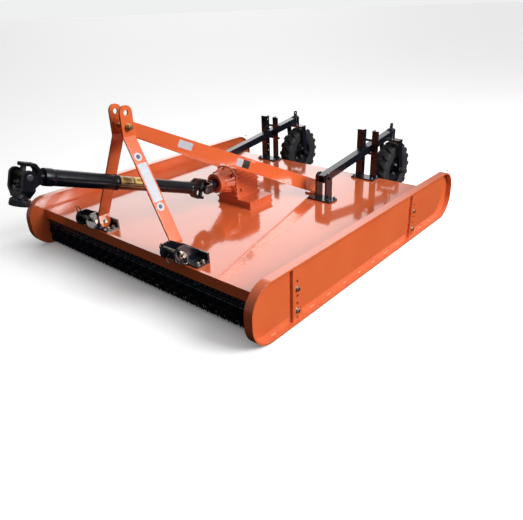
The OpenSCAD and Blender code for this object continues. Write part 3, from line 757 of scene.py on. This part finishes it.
def labels():
    p = Piece()
    for s in LR:
        k = SIGN[s]
        # mast legs: u down the leg, v rearward, from the bend
        u = Vector((k * 0.4784, 0, -0.8781))
        n = Vector((k * 0.8781, 0, 0.4784))
        o = P(k * 46, 46, 802.5)
        v = n.cross(u)
        fwd = 1 if v.y > 0 else -1
        for c in (105, 365):
            patch(p, o, u, v, n, disc(c, -3 * fwd, 21), 0, 0.0004)
            patch(p, o, u, v, n, disc(c, -3 * fwd, 11), 2, 0.0008)
        patch(p, o, u, v, n, rect(138, 338, -27, 27), 0, 0.0004)
        # stays: u down the bar, v up across it, from the bend
        yaw = math.atan2(312 - 25.7, 1248 - 96)
        h = Vector((k * math.sin(yaw), math.cos(yaw), 0))
        n = Vector((k * math.cos(yaw), -math.sin(yaw), 0))
        a = math.atan(0.4728)
        u = (h * math.cos(a) - Z * math.sin(a)).normalized()
        v = n.cross(u)
        up = 1 if v.z > 0 else -1
        o = P(k * 35.7, 96, 824.1)
        L = lambda x: x / math.cos(a)
        patch(p, o, u, v, n, rect(L(216) + 6, L(304) - 6, -20, 20), 0)
        patch(p, o, u, v, n, rect(L(573), L(611), -24, 22), 0)
        patch(p, o, u, v, n, rect(L(614), L(658), -24, 22), 1)
    p.done("blank_labels", "deck", ["label_white", "label_black", "label_blue"])


labels()

# ---------------------------------------------------------------- drive shaft
D = Vector((0, -math.cos(RISE), math.sin(RISE)))
N = Vector((0, math.sin(RISE), math.cos(RISE)))
UR = P(0, ROTOR_Y - 326, INPUT_Z)


def shell_arc(p, m, r, t, h0, h1, a0, a1, mat, n=20):
    """Part of a thin sleeve about m's Z."""
    rings = []
    for i in range(n + 1):
        a = math.radians(a0 + (a1 - a0) * i / n)
        c, s_ = math.cos(a), math.sin(a)
        rings.append([(r * c, r * s_, h0), (r * c, r * s_, h1), ((r + t) * c, (r + t) * s_, h1), ((r + t) * c, (r + t) * s_, h0)])
    p.loft(rings, m, mat)


def shaft_dress():
    m = along(UR, D, X)
    p = Piece()
    p.lathe([(0.030, 0.078), (0.0355, 0.080), (0.0365, 0.084), (0.0365, 0.094), (0.0352, 0.098), (0.0345, 0.101), (0.030, 0.101)], m, 0, 48, True)
    p.lathe([(0.0338, 0.118), (0.0352, 0.119), (0.0352, 0.124), (0.0338, 0.125)], m, 0, 48, True)
    p.done("guard_neck_rear", "pto_shaft", ["guard"])
    q = Piece()
    q.lathe([(0.0339, 0.418), (0.03408, 0.4184), (0.03408, 0.5866), (0.0339, 0.587)], m, 0, 96, True)
    # two pale panels each side, each with a darker field, over two thin lines
    for a in (12, 192):
        for h0, h1 in ((0.4225, 0.4985), (0.5065, 0.5825)):
            shell_arc(q, m, 0.03405, 0.0001, h0, h1, a, a + 80, 1)
            shell_arc(q, m, 0.0341, 0.00012, h0 + 0.012, h1 - 0.012, a + 16, a + 44, 2)
        for d in (-16, -40):
            shell_arc(q, m, 0.03405, 0.0001, 0.4225, 0.5825, a + d, a + d + 9, 2)
    q.done("blank_band", "pto_shaft", ["label_red", "label_cream", "label_cream_2"])
    o = Piece()
    o.lathe([(0.0375, 0.587), (0.0395, 0.587), (0.0402, 0.591), (0.0402, 0.603), (0.0388, 0.609), (0.0375, 0.609)], m, 0, 56, True)
    o.lathe([(0.0375, 0.926), (0.0386, 0.928), (0.0400, 0.932), (0.0405, 0.940), (0.0405, 0.966), (0.0395, 0.9755), (0.030, 0.977),
             (0.030, 0.9752), (0.0375, 0.9752)], m, 0, 56, True)
    o.done("guard_ends_front", "pto_sleeve", ["guard"])
    # sliding collar of the end yoke and its grip
    e = Piece()
    m2 = along(UR + D * SHAFT, -N, X)
    e.lathe([(0.0335, 0.098), (0.040, 0.100), (0.0435, 0.104), (0.0435, 0.1095), (0.036, 0.1105), (0.0335, 0.1105)], m2, 0, 56, True)
    for i in range(24):
        a = 2 * math.pi * i / 24
        c = m2 @ Vector((0.0438 * math.cos(a), 0.0438 * math.sin(a), 0.120))
        e.box((-0.0012, -0.0018, -0.0075), (0.0012, 0.0018, 0.0075), 0.0006, along(c, -N, (c - (m2 @ Vector((0, 0, 0.120))))), 0)
    e.done("end_yoke_collar", "pto_end_yoke", ["black"])


shaft_dress()


def cross_caps(name, body, c, ends):
    p = Piece()
    c = Vector(c)
    for z, far in ends:
        for k in (-1, 1):
            a = Vector(z) * k
            p.lathe([(0, 0), (0.0155, 0), (0.0155, 0.003), (0.0125, 0.0042), (0.006, 0.0046), (0, 0.0036)],
                    along(c + a * (far - 0.0035), a), 0, 28)
    g = (Vector(ends[0][0]) + Vector(ends[1][0])).normalized()
    p.lathe([(0, 0), (0.0045, 0), (0.0045, 0.004), (0.0028, 0.005), (0.0032, 0.009), (0, 0.010)], along(c + g * 0.019, g), 0, 12)
    p.done(name, body, ["steel"])


cross_caps("cross_caps_rear", "pto_rear_cross", UR, ((X, 0.056), (N, 0.056)))
cross_caps("cross_caps_front", "pto_front_cross", UR + D * SHAFT, ((X, 0.066), (N, 0.056)))

# ---------------------------------------------------------------- floor and light
me = bpy.data.meshes.new("floor")
me.from_pydata([(-60, -60, 0), (60, -60, 0), (60, 60, 0), (-60, 60, 0)], [], [(0, 1, 2, 3)])
floor = bpy.data.objects.new("floor", me)
bpy.context.scene.collection.objects.link(floor)
fm = Mat("floor")
fn = fm.noise(3, 3)
me.materials.append(fm.end(fm.mix(fn, (0.93, 0.93, 0.932, 1), (0.95, 0.95, 0.95, 1)), 0.6, spec=0.2))
fm.bsdf.inputs["Emission Color"].default_value = (1, 1, 1, 1)
# painted light: the floor glows towards white, but not under the deck, which stays darker
edge_x = fm.ramp(fm.math("ABSOLUTE", fm.axis(0)), 0.80, 1.15)
edge_y = fm.ramp(fm.math("ABSOLUTE", fm.math("ADD", fm.axis(1), 0.02)), 0.72, 1.15)
fm.put(fm.bsdf.inputs["Emission Strength"], fm.math("MULTIPLY", fm.math("MAXIMUM", edge_x, edge_y), 0.42))

world = bpy.data.worlds.new("world")
bpy.context.scene.world = world
world.use_nodes = True
wt = world.node_tree
bg = next(n for n in wt.nodes if n.type == "BACKGROUND")


def sky(terms, base):
    """A white studio: a base level plus soft bright regions, each (direction, start, full, level)."""
    co = wt.nodes.new("ShaderNodeTexCoord").outputs["Generated"]
    total = None
    for d, lo, hi, level in terms:
        dot = wt.nodes.new("ShaderNodeVectorMath")
        dot.operation = "DOT_PRODUCT"
        wt.links.new(co, dot.inputs[0])
        dot.inputs[1].default_value = Vector(d).normalized()
        mr = wt.nodes.new("ShaderNodeMapRange")
        mr.interpolation_type = "SMOOTHSTEP"
        wt.links.new(dot.outputs["Value"], mr.inputs["Value"])
        mr.inputs["From Min"].default_value = lo
        mr.inputs["From Max"].default_value = hi
        mr.inputs["To Max"].default_value = level
        add = wt.nodes.new("ShaderNodeMath")
        add.operation = "ADD"
        wt.links.new(mr.outputs["Result"], add.inputs[0])
        if total is None:
            add.inputs[1].default_value = base
        else:
            wt.links.new(total, add.inputs[1])
        total = add.outputs[0]
    # nothing comes from below, where the floor keeps the light out
    sep = wt.nodes.new("ShaderNodeSeparateXYZ")
    wt.links.new(co, sep.inputs[0])
    up = wt.nodes.new("ShaderNodeMapRange")
    up.interpolation_type = "SMOOTHSTEP"
    wt.links.new(sep.outputs[2], up.inputs["Value"])
    up.inputs["From Min"].default_value = -0.2
    up.inputs["From Max"].default_value = 0.02
    up.inputs["To Min"].default_value = 0.06
    lit = wt.nodes.new("ShaderNodeMath")
    lit.operation = "MULTIPLY"
    wt.links.new(total, lit.inputs[0])
    wt.links.new(up.outputs["Result"], lit.inputs[1])
    wt.links.new(lit.outputs[0], bg.inputs["Strength"])
    bg.inputs["Color"].default_value = (1, 1, 1, 1)


sky([((0.45, 0.35, 0.8), 0.1, 0.95, 0.42),
     ((-0.688, 0.664, 0.292), 0.915, 0.99, 1.48)], 0.14)


def area(name, p, target, size, power, color=(1, 1, 1), size_y=None):
    li = bpy.data.lights.new(name, "AREA")
    li.energy = power
    li.shape = "RECTANGLE"
    li.size = size
    li.size_y = size_y or size
    li.color = color
    ob = bpy.data.objects.new(name, li)
    bpy.context.scene.collection.objects.link(ob)
    d = Vector(p) - Vector(target)
    ob.matrix_world = along(p, d, Z.cross(d))
    ob.visible_camera = False
    return ob


# a pale backdrop that only the camera sees
b = bmesh.new()
bmesh.ops.create_uvsphere(b, u_segments=96, v_segments=48, radius=58)
me = bpy.data.meshes.new("backdrop")
b.to_mesh(me)
b.free()
me.polygons.foreach_set("use_smooth", [True] * len(me.polygons))
backdrop = bpy.data.objects.new("backdrop", me)
bpy.context.scene.collection.objects.link(backdrop)
bm_ = Mat("backdrop")
bm_.end((0, 0, 0, 1), 1.0, spec=0.0)
bm_.bsdf.inputs["Emission Color"].default_value = (0.96, 0.965, 0.97, 1)
bm_.bsdf.inputs["Emission Strength"].default_value = 0.9
me.materials.append(bm_.m)
backdrop.visible_diffuse = False
backdrop.visible_glossy = False
backdrop.visible_shadow = False
backdrop.visible_transmission = False

area("key", (4.8, 0.9, 3.0), (0, 0, 0.2), 3, 345)
floor.visible_diffuse = False
floor.visible_glossy = False
